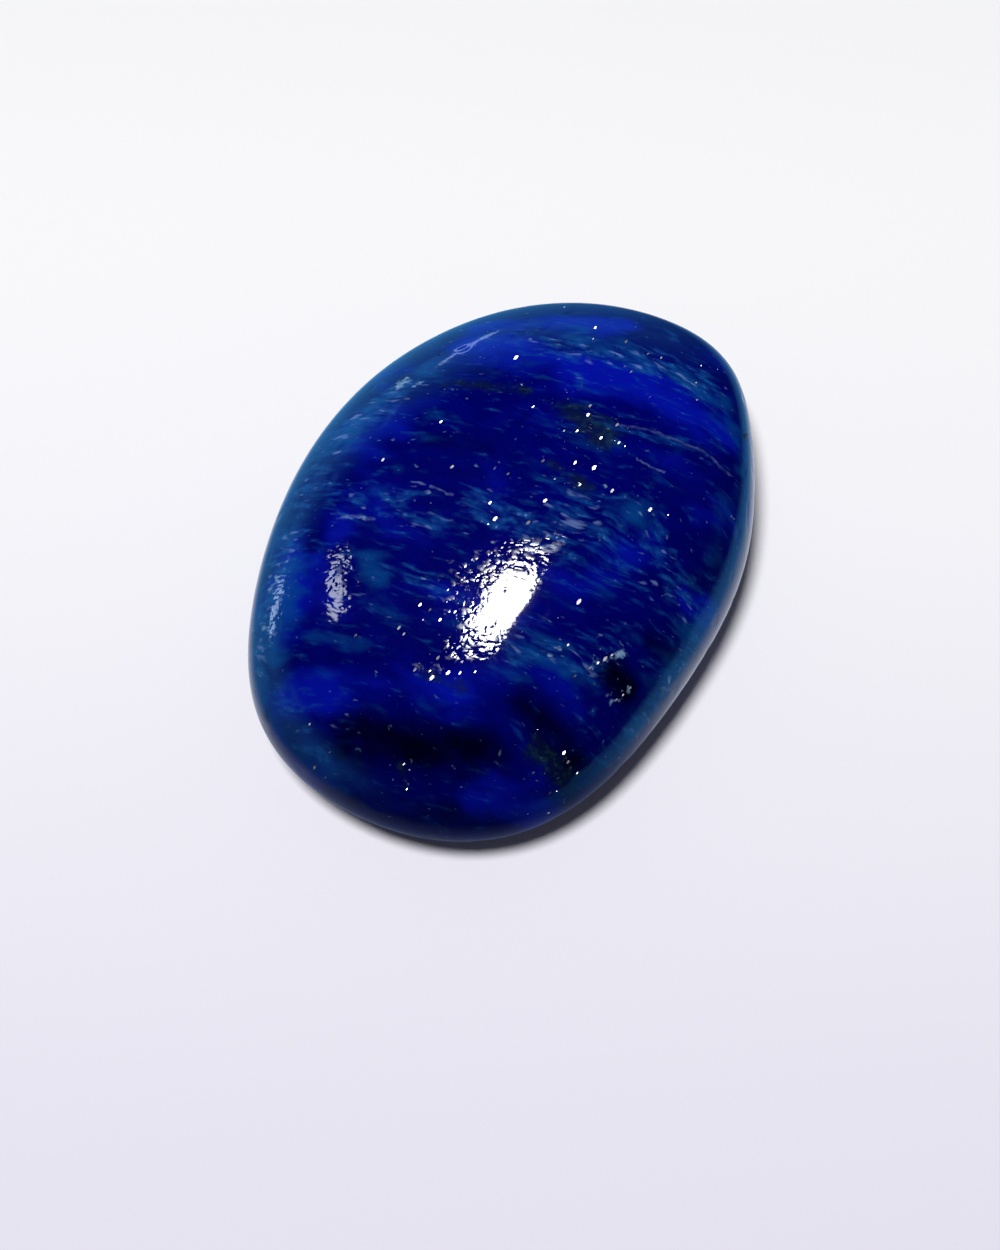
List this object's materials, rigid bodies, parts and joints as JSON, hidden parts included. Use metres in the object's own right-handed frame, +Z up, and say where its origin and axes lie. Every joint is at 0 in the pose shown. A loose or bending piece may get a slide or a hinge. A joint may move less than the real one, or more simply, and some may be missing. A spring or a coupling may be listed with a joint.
{
  "type": "lapis lazuli tumbled stone",
  "caption": "Polished egg-shaped lapis lazuli pebble, longer than wide and flatter than wide, resting on a small flat spot.",
  "frame": {"origin": "under the middle of the stone's box, on the surface it rests on", "axes": "+X along the stone's length towards its narrow end, +Y across its width, +Z up through its thickness"},
  "size_m": [0.03, 0.0208, 0.0109],
  "materials": {
    "polished_lapis_lazuli": "tumble-polished, glassy, deep ultramarine with pyrite grains and paler calcite streaks"
  },
  "bodies": {
    "root": {"lapis_stone": "polished_lapis_lazuli"}
  },
  "joints": []
}
